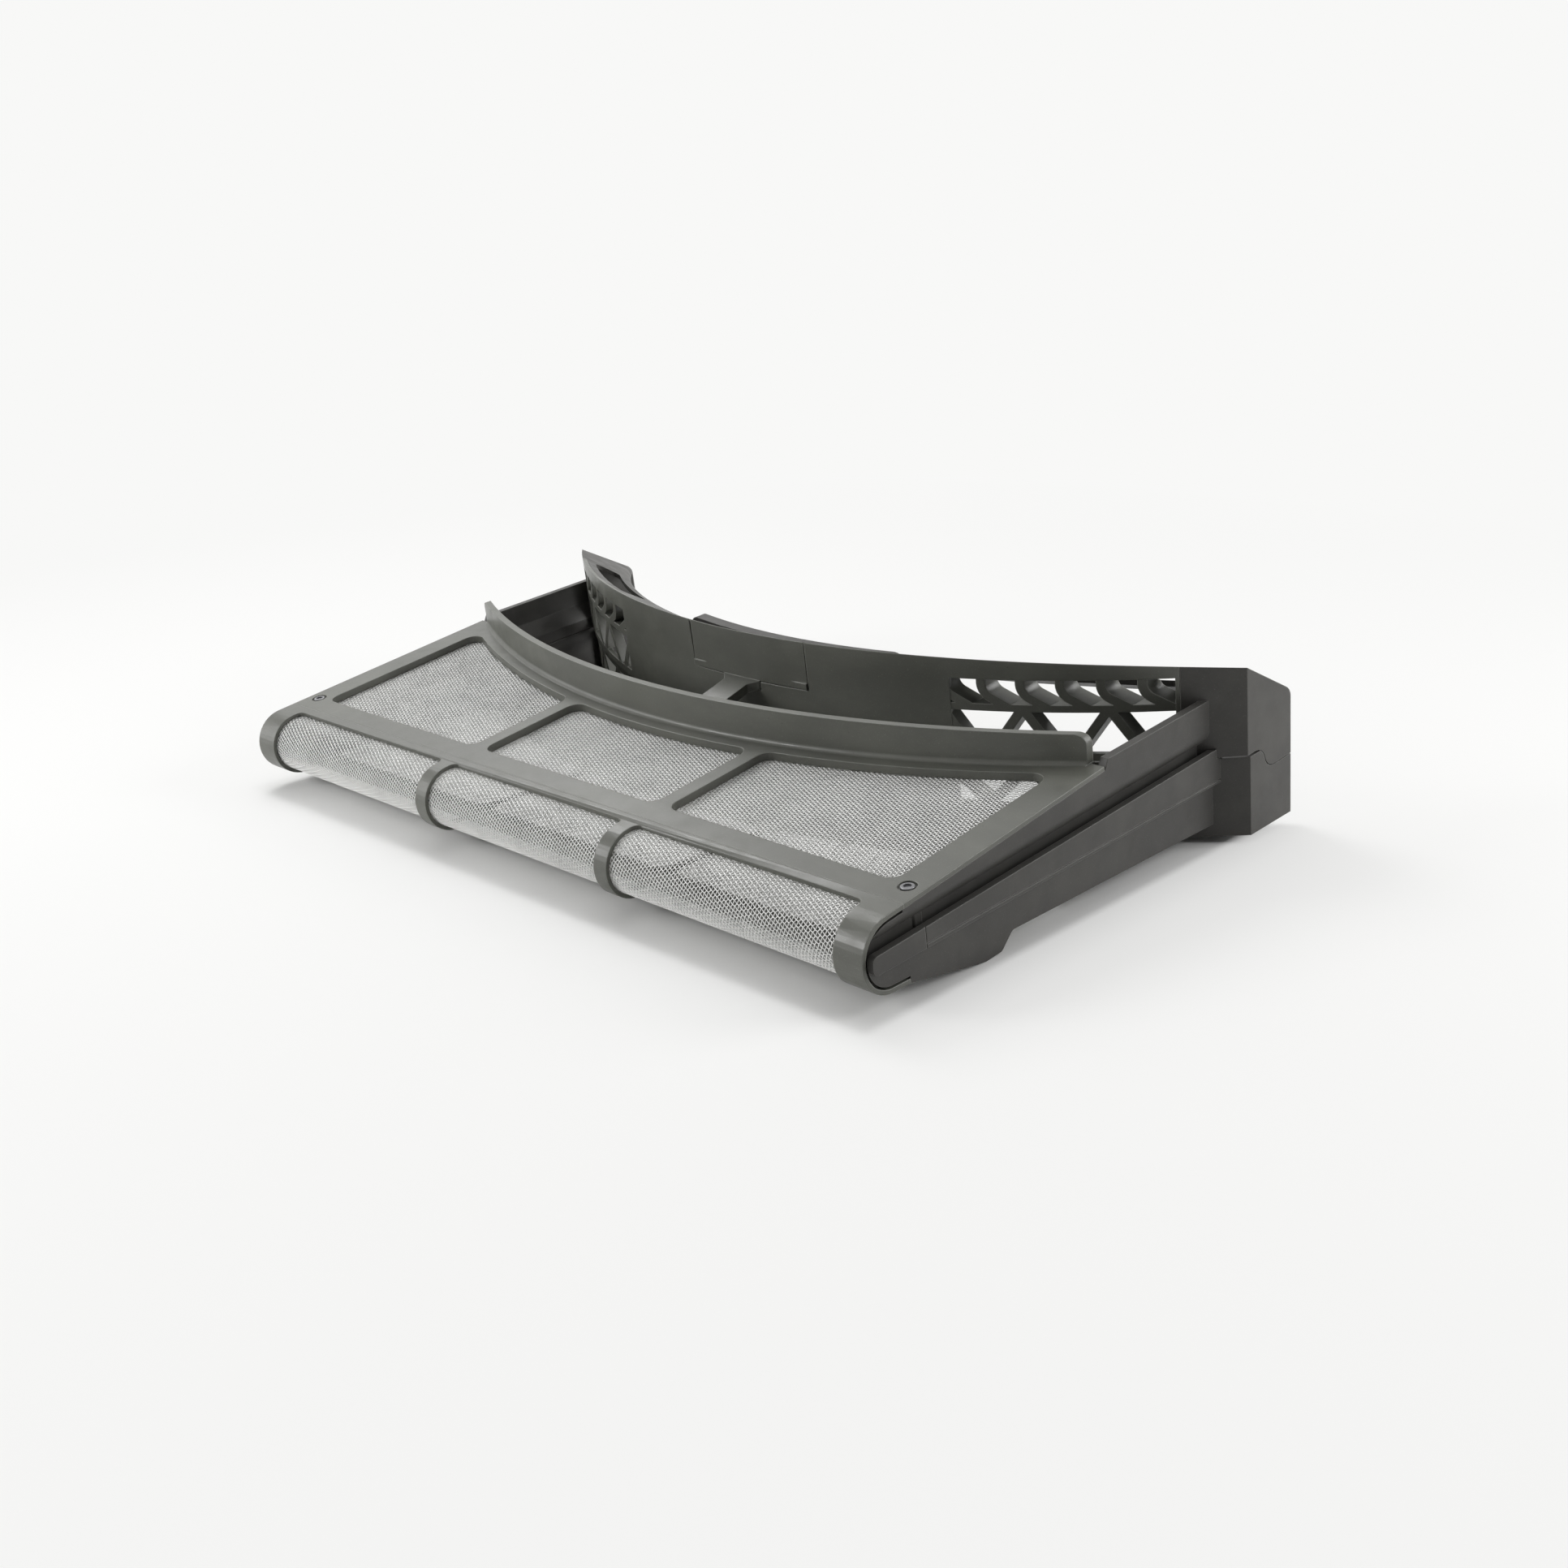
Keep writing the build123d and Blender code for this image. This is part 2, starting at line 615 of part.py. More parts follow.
with BuildPart() as handle:
    roof_rear = BAND_TOP - BAND_DEPTH * tan(ROOF_PITCH)
    with BuildSketch(Plane.XZ) as handle_front:
        with Locations((0, HANDLE_TOP)):
            handle_height = HANDLE_TOP - roof_rear + 2 * BAND_WALL
            Rectangle(2 * HANDLE_HALF, handle_height, align=(Align.CENTER, Align.MAX))
        fillet(handle_front.vertices().group_by(Axis.Y)[-1], HANDLE_CORNER)
    extrude(amount=-BAND_CENTRE)
    handle_rear = BAND_REAR - HANDLE_REACH
    add(upright(ring(handle_rear + HANDLE_WALL, handle_rear, MOUTH_HALF), 0, TALL), mode=Mode.INTERSECT)

with BuildPart() as upper_shell:
    add(upright(ring(BAND_RADIUS, BAND_REAR, MOUTH_HALF), SPLIT_GAP / 2, TALL))
    add(over_roof(0), mode=Mode.SUBTRACT)
    roof_end = (0, MOUTH_Y + BAND_DEPTH, BAND_TOP - BAND_DEPTH * tan(ROOF_PITCH))
    fillet(upper_shell.edges().sort_by_distance(roof_end)[0], BAND_CORNER)
    add(upper_space.part, mode=Mode.SUBTRACT)
    add(upper_walls.part)
    add(upright(ring(BAND_RADIUS + 1, BAND_RADIUS - BAND_WALL - SEAT, GRILLE_HALF), 0, TALL), mode=Mode.SUBTRACT)
    with BuildSketch(mode=Mode.PRIVATE) as roof_window:
        window_outer = BAND_RADIUS - ROOF_WINDOW_FRONT
        window_inner = BAND_REAR + ROOF_WINDOW_REAR
        add(sector(window_outer, window_inner, ROOF_WINDOW_FIRST, ROOF_WINDOW_LAST))
        fillet(roof_window.vertices(), ROOF_WINDOW_CORNER)
    add(upright(roof_window.sketch, GRILLE_LOW, TALL), mode=Mode.SUBTRACT)
    latch_room = ring(BAND_RADIUS, BAND_RADIUS - BAND_WALL - LATCH_TRAVEL, LATCH_HALF + CLEAR)
    add(upright(latch_room, LATCH_LOW, TALL), mode=Mode.SUBTRACT)
    add(handle.part)
    for plate_x in (MOUTH_HALF - END_WALL, -MOUTH_HALF):
        extrude(Pos(plate_x, 0, 0) * s_step(0), amount=END_WALL)
    add(boss(1, UPPER_SLOPE))
    add(screw_holes(1), mode=Mode.SUBTRACT)

# Upper mouth wall: hook vanes over a shelf, zigzag bars under it
bend_top = GRILLE_TOP - VANE_DROP
knee = (VANE_BEND * (1 - cos(VANE_TURN)), bend_top - VANE_BEND * sin(VANE_TURN))
shelf_middle = (SHELF_TOP + SHELF_LOW) / 2
vane_foot = (knee[0] + (knee[1] - shelf_middle) * tan(VANE_TURN), shelf_middle)
with BuildPart() as lattice:
    for index in range(VANES):
        angle = radians(GRILLE_FIRST) + (VANE_START + index * VANE_PITCH) / BAND_RADIUS
        spot = ((BAND_RADIUS + 1) * sin(angle), BAND_CENTRE - (BAND_RADIUS + 1) * cos(angle), 0)
        with BuildSketch(Plane(spot, (cos(angle), sin(angle), 0), (sin(angle), -cos(angle), 0))):
            with BuildLine():
                Line((0, GRILLE_TOP + 1), (0, bend_top))
                TangentArc((0, bend_top), knee, tangent=(0, -1))
                Line(knee, vane_foot)
            trace(line_width=VANE)
        extrude(amount=4 * VANE_DEPTH, dir=(0, 1, 0))
    front = BAND_RADIUS - SEAT
    limits = sector(front, front - VANE_DEPTH, GRILLE_FIRST - GRILLE_EDGE, GRILLE_LAST + GRILLE_EDGE)
    add(upright(limits, SHELF_LOW, TALL), mode=Mode.INTERSECT)
    shelf = sector(front, front - SHELF_DEPTH, GRILLE_FIRST - GRILLE_EDGE, GRILLE_LAST + GRILLE_EDGE)
    add(upright(shelf, SHELF_LOW, SHELF_TOP))
    with Locations((MOUTH_HALF, 0, 0)):
        Box(2 * MOUTH_HALF, 4 * BAND_CENTRE, TALL, mode=Mode.INTERSECT)
    add(over_roof((BAND_WALL + CLEAR) / cos(ROOF_PITCH)), mode=Mode.SUBTRACT)
    add(zigzag(BAND_RADIUS, shelf_middle, GRILLE_LOW - CLEAR, BAR_SINK))
    mirror(about=Plane.YZ)

with BuildPart() as upper_grille:
    add(upright(ring(BAND_RADIUS, BAND_RADIUS - BAND_WALL, GRILLE_HALF - SEAT), SPLIT_GAP / 2, TALL))
    add(over_roof(0), mode=Mode.SUBTRACT)
    grille_plan = sector(BAND_RADIUS + 1, BAND_RADIUS - BAND_WALL - 1, GRILLE_FIRST, GRILLE_LAST)
    add(upright(grille_plan, GRILLE_LOW, GRILLE_TOP), mode=Mode.SUBTRACT)
    add(lattice.part)
    tongue_room = ring(BAND_RADIUS + 1, BAND_RADIUS - BAND_WALL - 1, LATCH_HALF + CLEAR)
    add(upright(tongue_room, LATCH_LOW - CLEAR, TALL), mode=Mode.SUBTRACT)
    with BuildSketch(Plane.XZ):
        slit_x = -LATCH_HALF - CLEAR / 2
        slit_top = BAND_TOP + BAND_WALL
        slit_wide = (slit_x - LATCH_SLIT, slit_top)
        Polygon((slit_x, LATCH_LOW), (slit_x, slit_top), slit_wide, align=None)
    extrude(amount=-BAND_CENTRE, mode=Mode.SUBTRACT)
    with Locations((ARM_X, MOUTH_Y, LATCH_LOW - ARM_DEPTH - CLEAR)):
        arm_room = 2 * (ARM_HALF + ARM_FLARE + CLEAR)
        Box(arm_room, 4 * BAND_WALL, TALL, align=(Align.CENTER, Align.CENTER, Align.MIN), mode=Mode.SUBTRACT)
    with BuildPart(mode=Mode.PRIVATE) as lugs:
        for lug_x in (LATCH_HALF + 2 * CLEAR, -LATCH_HALF - 2 * CLEAR - LUG):
            with BuildSketch(Plane.YZ.offset(lug_x)):
                with Locations((PIN_Y, PIN_Z)):
                    Circle(2 * PIN_RADIUS)
                    Rectangle(TALL / 8, 4 * PIN_RADIUS, align=(Align.MAX, Align.CENTER))
            extrude(amount=LUG)
        with BuildSketch():
            with Locations((0, BAND_CENTRE)):
                Circle(BAND_RADIUS - BAND_WALL / 2)
        extrude(amount=TALL, mode=Mode.INTERSECT)
        with BuildSketch(Plane.YZ):
            with Locations((PIN_Y, PIN_Z)):
                Circle(PIN_RADIUS + PIN_CLEAR)
        extrude(amount=MOUTH_HALF, both=True, mode=Mode.SUBTRACT)
    add(lugs.part)

# Arm and hook of the latch: the arm falls towards the front and flares where it leaves the tongue
arm_front = MOUTH_Y - ARM_REACH
flare_front = MOUTH_Y - ARM_FLARE
flare_half = ARM_HALF + ARM_FLARE
with BuildPart() as arm:
    with BuildSketch(Plane.YZ.offset(ARM_X)):
        Polygon(
            (PIN_Y, LATCH_LOW),
            (MOUTH_Y, LATCH_LOW),
            (arm_front, LATCH_LOW - ARM_FALL),
            (arm_front, -HOOK_LOW),
            (arm_front + ARM_WALL, -HOOK_LOW),
            (arm_front + ARM_WALL + HOOK_NOSE, -HOOK_LOW + HOOK_NOSE),
            (arm_front + ARM_WALL, -HOOK_LOW + HOOK_NOSE),
            (arm_front + ARM_WALL, LATCH_LOW - ARM_DEPTH - ARM_FALL),
            (MOUTH_Y, LATCH_LOW - ARM_DEPTH),
            (PIN_Y, LATCH_LOW - ARM_DEPTH),
            align=None,
        )
    extrude(amount=flare_half, both=True)
    with BuildSketch():
        Polygon(
            (ARM_X - ARM_HALF, arm_front),
            (ARM_X + ARM_HALF, arm_front),
            (ARM_X + ARM_HALF, flare_front),
            (ARM_X + flare_half, MOUTH_Y),
            (ARM_X + flare_half, PIN_Y),
            (ARM_X - flare_half, PIN_Y),
            (ARM_X - flare_half, MOUTH_Y),
            (ARM_X - ARM_HALF, flare_front),
            align=None,
        )
    extrude(amount=TALL, both=True, mode=Mode.INTERSECT)

# Latch lever: tongue in the mouth wall, pins behind it, arm and hook in front
with BuildPart() as latch_lever:
    add(upright(ring(BAND_RADIUS, BAND_RADIUS - BAND_WALL, LATCH_HALF), LATCH_LOW, TALL))
    add(over_roof(0), mode=Mode.SUBTRACT)
    with BuildSketch(Plane.YZ):
        with Locations((PIN_Y, PIN_Z)):
            Circle(PIN_RADIUS)
    extrude(amount=LATCH_HALF + PIN_REACH, both=True)
    with BuildSketch(Plane.YZ):
        with Locations((PIN_Y, LATCH_LOW)):
            Rectangle(PIN_Y - MOUTH_Y - BAND_WALL / 2, 2 * ARM_WALL / 2, align=(Align.MAX, Align.MIN))
    extrude(amount=LATCH_HALF, both=True)
    add(arm.part)

# Lower half body: side walls with guide rails and feet
foot_heel = (FOOT_Y + FOOT_FLAT, -FOOT_DROP)
foot_end = (FOOT_END, -face_height(FOOT_END, LOWER_SLOPE))
with BuildPart() as lower_walls:
    with BuildSketch(Plane.YZ) as lower_side:
        with BuildLine():
            tangent = (-NOSE_INNER * sin(LOWER_SLOPE), -NOSE_INNER * cos(LOWER_SLOPE))
            wall_front = (-sqrt(NOSE_INNER**2 - SPLIT_GAP**2 / 4), -SPLIT_GAP / 2)
            ThreePointArc(wall_front, (-NOSE_INNER * cos(DIAGONAL), -NOSE_INNER * sin(DIAGONAL)), tangent)
            wall_start = FRAME_START + SEAT
            Polyline(
                tangent,
                (wall_start, (PLATE + SLIT) / cos(LOWER_SLOPE) - face_height(wall_start, LOWER_SLOPE)),
                (wall_start, -face_height(wall_start, LOWER_SLOPE)),
                (FOOT_Y, -FOOT_DROP),
                foot_heel,
                foot_end,
                (STEP_START, -face_height(STEP_START, LOWER_SLOPE)),
                (STEP_START, -SPLIT_GAP / 2),
                wall_front,
            )
        make_face()
        for corner in (foot_heel, foot_end):
            fillet(lower_side.vertices().sort_by_distance(corner)[0], FOOT_ROUND)
    extrude(amount=HALF_WIDTH)
    with Locations((HALF_WIDTH, 0, 0)):
        wall_depth = SIDE_WALL + WALL_TUCK
        Box(2 * wall_depth, 4 * BAND_CENTRE, TALL, mode=Mode.INTERSECT)
    channel_low = HALF_WIDTH - WALL_TUCK
    channel_high = HALF_WIDTH + RAIL_PROUD - RAIL_LEDGE
    with Locations(((channel_low + channel_high) / 2, 0, -CHANNEL)):
        Box(
            channel_high - channel_low,
            4 * BAND_CENTRE,
            TALL,
            align=(Align.CENTER, Align.CENTER, Align.MIN),
            mode=Mode.SUBTRACT,
        )
    with BuildSketch(Plane.YZ.offset(channel_high)) as rail_side:
        Polygon(
            (-NOSE_INNER, RAIL_TOP),
            (STEP_START, RAIL_TOP),
            (STEP_START, -RAIL_LOW - RAIL_SPREAD * STEP_START),
            (-NOSE_INNER, -RAIL_LOW),
            align=None,
        )
        fillet(rail_side.vertices().group_by(Axis.X)[0], RAIL_END)
    extrude(amount=RAIL_LEDGE)
    with BuildSketch(Plane.YZ.offset(HALF_WIDTH)):
        Rectangle(4 * NOSE_RADIUS, TALL, align=(Align.MAX, Align.CENTER))
        Circle(NOSE_INNER, mode=Mode.SUBTRACT)
    extrude(amount=2 * RAIL_PROUD, both=True, mode=Mode.SUBTRACT)
    with Locations((HALF_WIDTH + RAIL_PROUD, RAIL_JOINT, 0)):
        Box(2 * JOINT_DEPTH, JOINT_LINE, TALL, mode=Mode.SUBTRACT)
    with BuildSketch(Plane.YZ.offset(HALF_WIDTH + RAIL_PROUD - JOINT_DEPTH)):
        groove_front = RAIL_BEAD - RAIL_LOW - RAIL_SPREAD * RAIL_JOINT
        groove_rear = RAIL_BEAD - RAIL_LOW - RAIL_SPREAD * STEP_START
        Polygon(
            (RAIL_JOINT, groove_front),
            (STEP_START, groove_rear),
            (STEP_START, groove_rear + RAIL_GROOVE),
            (RAIL_JOINT, groove_front + RAIL_GROOVE),
            align=None,
        )
    extrude(amount=2 * JOINT_DEPTH, mode=Mode.SUBTRACT)
    with Locations((HALF_WIDTH, WALL_JOINT, -RAIL_LOW - RAIL_SPREAD * WALL_JOINT)):
        joint_at = (Align.CENTER, Align.CENTER, Align.MAX)
        Box(2 * JOINT_DEPTH, JOINT_LINE, TALL, align=joint_at, mode=Mode.SUBTRACT)
    add(across(slab(-1, LOWER_SLOPE, -TALL, PLATE, FRAME_START, BAND_CENTRE), INNER_WALL), mode=Mode.SUBTRACT)
    with BuildSketch():
        with Locations((0, BAND_CENTRE)):
            Circle(LOWER_RADIUS - BAND_WALL / 2)
    extrude(amount=TALL, both=True, mode=Mode.SUBTRACT)
    mirror(about=Plane.YZ)

# Floor between the lower frame and the mouth
with BuildPart() as floor:
    add(across(slab(-1, LOWER_SLOPE, 0, PLATE, 0, BAND_CENTRE), HALF_WIDTH - SIDE_WALL / 2))
    with BuildSketch():
        with Locations((0, LIP_CENTRE)):
            Circle(LIP_REAR - SEAT)
        with Locations((0, BAND_CENTRE)):
            Circle(LOWER_RADIUS + SEAT, mode=Mode.SUBTRACT)
    extrude(amount=-TALL, mode=Mode.INTERSECT)

# Hollow inside the mouth band of the lower half
with BuildPart() as lower_space:
    lower_plan = ring(LOWER_RADIUS - BAND_WALL, BAND_REAR - TALL / 2, MOUTH_HALF - END_WALL)
    add(upright(lower_plan, -TALL, 1))
    add(under_floor(BAND_WALL), mode=Mode.SUBTRACT)

with BuildPart() as lower_shell:
    add(upright(ring(LOWER_RADIUS, BAND_REAR, MOUTH_HALF), -TALL, -SEAM))
    add(under_floor(0), mode=Mode.SUBTRACT)
    add(lower_space.part, mode=Mode.SUBTRACT)
    add(lower_walls.part)
    add(upright(ring(BAND_RADIUS + CLEAR, BAND_REAR, MOUTH_HALF), -SPLIT_GAP / 2, TALL), mode=Mode.SUBTRACT)
    add(floor.part)
    with BuildPart(mode=Mode.PRIVATE) as wall_room:
        add(upright(ring(LOWER_RADIUS, LOWER_RADIUS - BAND_WALL - SEAT, GRILLE_HALF), -TALL, 1))
        add(under_floor(BAND_WALL), mode=Mode.SUBTRACT)
    add(wall_room.part, mode=Mode.SUBTRACT)
    for plate_x in (MOUTH_HALF - END_WALL - CLEAR, -MOUTH_HALF - CLEAR):
        extrude(Pos(plate_x, 0, 0) * s_step(SPLIT_GAP), amount=END_WALL + 2 * CLEAR, mode=Mode.SUBTRACT)
    add(boss(-1, LOWER_SLOPE))
    add(screw_holes(-1), mode=Mode.SUBTRACT)

# Lower mouth wall: zigzag bars and the catch for the latch hook
with BuildPart() as lower_lattice:
    add(zigzag(LOWER_RADIUS, -LOWER_GRILLE_TOP + CLEAR, -LOWER_GRILLE_LOW - CLEAR, 0))
    mirror(about=Plane.YZ)

with BuildPart() as lower_grille:
    lower_ring = ring(LOWER_RADIUS, LOWER_RADIUS - BAND_WALL, GRILLE_HALF - SEAT)
    add(upright(lower_ring, -TALL, -SEAM))
    add(under_floor(BAND_WALL), mode=Mode.SUBTRACT)
    lower_plan = sector(LOWER_RADIUS + 1, LOWER_RADIUS - BAND_WALL - 1, GRILLE_FIRST, GRILLE_LAST)
    add(upright(lower_plan, -LOWER_GRILLE_LOW, -LOWER_GRILLE_TOP), mode=Mode.SUBTRACT)
    add(lower_lattice.part)
    with BuildSketch(Plane.YZ.offset(ARM_X)):
        catch_front = arm_front + ARM_WALL + HOOK_NOSE + CLEAR
        with Locations((catch_front, -SEAM)):
            catch_length = MOUTH_Y + LOWER_SETBACK + BAND_WALL - catch_front
            Rectangle(catch_length, CATCH, align=(Align.MIN, Align.MAX))
    extrude(amount=ARM_HALF, both=True)

screws = {}
for level, side, slope in (("upper", 1, UPPER_SLOPE), ("lower", -1, LOWER_SLOPE)):
    for hand, x in (("left", -SCREW_X), ("right", SCREW_X)):
        with BuildPart() as screws[f"{level}_screw_{hand}"]:
            add(screw(side, slope, x))

# All pieces, tilted into the resting pose
pieces = {
    "lower_shell": lower_shell,
    "lower_frame": lower_frame,
    "lower_grille": lower_grille,
    "nose_strip": nose_strip,
    "upper_shell": upper_shell,
    "upper_frame": upper_frame,
    "upper_grille": upper_grille,
    "latch_lever": latch_lever,
}
for name in WINDOWS:
    pieces[f"lower_mesh_{name}"] = lower_meshes[name]
    pieces[f"nose_mesh_{name}"] = nose_meshes[name]
    pieces[f"upper_mesh_{name}"] = upper_meshes[name]
pieces.update(screws)

for name, piece in pieces.items():
    piece.part = piece.part.moved(REST)
    piece.part.label = name
    export_step(piece.part, f"parts/{name}.step")
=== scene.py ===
"""Looks of the tumble dryer lint filter: moulded plastic halves, woven gauze and a studio table."""

from math import cos, radians, sin, sqrt

import bpy
import numpy as np
from mathutils import Matrix, Vector


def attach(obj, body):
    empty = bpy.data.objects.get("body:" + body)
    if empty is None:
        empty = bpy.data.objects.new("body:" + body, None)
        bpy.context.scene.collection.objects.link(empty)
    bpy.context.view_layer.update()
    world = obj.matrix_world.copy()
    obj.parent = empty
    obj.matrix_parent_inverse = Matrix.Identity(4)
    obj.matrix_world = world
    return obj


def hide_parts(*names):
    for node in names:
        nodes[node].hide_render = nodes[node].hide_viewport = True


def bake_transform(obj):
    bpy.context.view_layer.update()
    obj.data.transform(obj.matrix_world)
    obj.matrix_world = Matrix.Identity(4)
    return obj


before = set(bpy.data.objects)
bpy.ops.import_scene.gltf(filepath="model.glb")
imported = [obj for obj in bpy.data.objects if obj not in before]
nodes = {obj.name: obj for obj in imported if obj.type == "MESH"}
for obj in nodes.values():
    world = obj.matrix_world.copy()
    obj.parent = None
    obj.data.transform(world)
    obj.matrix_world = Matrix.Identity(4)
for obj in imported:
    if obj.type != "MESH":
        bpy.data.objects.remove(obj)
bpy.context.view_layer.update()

# Sizes are in metres. The filter's own axes are X across it, U from the nose back along the plane
# where the halves meet, and V square to that plane. The table pose tilts U and V round X.
MM = 0.001
REST_TILT = radians(5.023175)
REST_Y = -96.846705 * MM
REST_Z = 18.299333 * MM

# Nose and panels
NOSE_RADIUS = 12.6 * MM
UPPER_SLOPE = radians(3.7)
LOWER_SLOPE = radians(4.5)
NOSE_DEPTH = 1.55 * MM
PANEL_DEPTH = 3.0 * MM
NOSE_WINDOW_END = 3.1 * MM

# Windows that the gauze fills
WINDOW_FRONT = 16.2 * MM
WINDOW_RADIUS = 370.0 * MM
WINDOW_CENTRE = 430.0 * MM
WINDOW_CORNER = 5.0 * MM
GAUZE_MARGIN = 1.3 * MM
MIDDLE_WIDTH = 97.978 * MM
SIDE_WIDTH = 102.811 * MM
SIDE_CENTRE = 106.8945 * MM
# Each window's middle and width, and the longest run and flat area of its piece of panel gauze
WINDOWS = {
    "left": (-SIDE_CENTRE, SIDE_WIDTH, 82.7 * MM, 6712e-6),
    "middle": (0.0, MIDDLE_WIDTH, 49.8 * MM, 4782e-6),
    "right": (SIDE_CENTRE, SIDE_WIDTH, 82.7 * MM, 6712e-6),
}

# Gauze of plain weave, cut at a slant
WEAVE_PITCH = 1.3 * MM
STRAND = 0.35 * MM
STRAND_SIDES = 6
STRAND_REPEATS = 60
SLANT = radians(-24.5)

# The square of gauze is laid with its middle this far behind the middle of the centre line's window
GAUZE_SHIFT = 6 * MM

# Features of the moulded skin
FLOW_CLOUD = 25 * MM
MOULD_GRAIN = 0.35 * MM
GRAIN_HEIGHT = 0.12 * MM
RUBBED_PATCH = 9 * MM
PIT_SPACING = 3 * MM
EDGE_ROUND = 0.5 * MM
GLOSS_SPREAD = 0.08
PIT_SHADE = "#3a3a37"

# Features of the gauze and of the screws' finish
DUST_PATCH = 18 * MM
FILAMENT_DRAW = 4 * MM
PLATING_BLOOM = 0.8 * MM
BLOOM_HEIGHT = 0.05 * MM

# Studio: the table's size, the white that the camera sees, the steps of painted glow that pale the
# filter's shadow close by, and how bright the walls are to the filter
TABLE_SIZE = 8
BACKDROP = "#f8f8f7"
GLOW_END = 0.55
GLOW_STEPS = ((0.003, 0.4), (0.02, 0.55), (0.1, 0.65), (0.3, 0.82))
BEHIND = (-0.7, 0.7, 0.1)
FRONT_WALL = 0.08
REAR_WALL = 0.65

# Half the floor that the filter covers
FOOTPRINT = (172 * MM, 112 * MM, 0)

# Camera, matched to the photograph in the filter's own axes
CAMERA_PLACE = (486.8 * MM, -325.73 * MM, 246.52 * MM)
CAMERA_BACK = (0.678877, -0.624780, 0.385713)
CAMERA_UP = (-0.201738, 0.346382, 0.916144)
CAMERA_LENS = 40.70


def to_table(x, u, v):
    """Points of the filter's own axes in the pose in which it lies on the table."""
    y = u * cos(REST_TILT) - v * sin(REST_TILT) + REST_Y
    z = u * sin(REST_TILT) + v * cos(REST_TILT) + REST_Z
    return x, y, z


def linear(code):
    """Linear colour of an sRGB hex code."""
    shades = [int(code[place : place + 2], 16) / 255 for place in (1, 3, 5)]
    return *[c / 12.92 if c <= 0.04045 else ((c + 0.055) / 1.055) ** 2.4 for c in shades], 1.0


def add_node(tree, kind, inputs, **settings):
    """Adds a node with its settings, and fills or links its inputs."""
    added = tree.nodes.new(kind)
    for name, value in settings.items():
        setattr(added, name, value)
    for name, value in inputs.items():
        if isinstance(value, bpy.types.NodeSocket):
            tree.links.new(value, added.inputs[name])
        else:
            added.inputs[name].default_value = value
    return added


def bare_material(name):
    """New material with nothing but its output, and that output's surface socket."""
    material = bpy.data.materials.new(name)
    material.use_nodes = True
    tree = material.node_tree
    tree.nodes.clear()
    end = tree.nodes.new("ShaderNodeOutputMaterial")
    return material, tree, end.inputs["Surface"]


def background_rays(tree):
    """1 for a ray that shows the background: from the camera, mirrored or let through. Otherwise 0."""
    ray = tree.nodes.new("ShaderNodeLightPath").outputs
    bent = add_node(
        tree,
        "ShaderNodeMath",
        {0: ray["Is Glossy Ray"], 1: ray["Is Transmission Ray"]},
        operation="MAXIMUM",
    )
    seen = add_node(
        tree, "ShaderNodeMath", {0: ray["Is Camera Ray"], 1: bent.outputs["Value"]}, operation="MAXIMUM"
    )
    return seen.outputs["Value"]


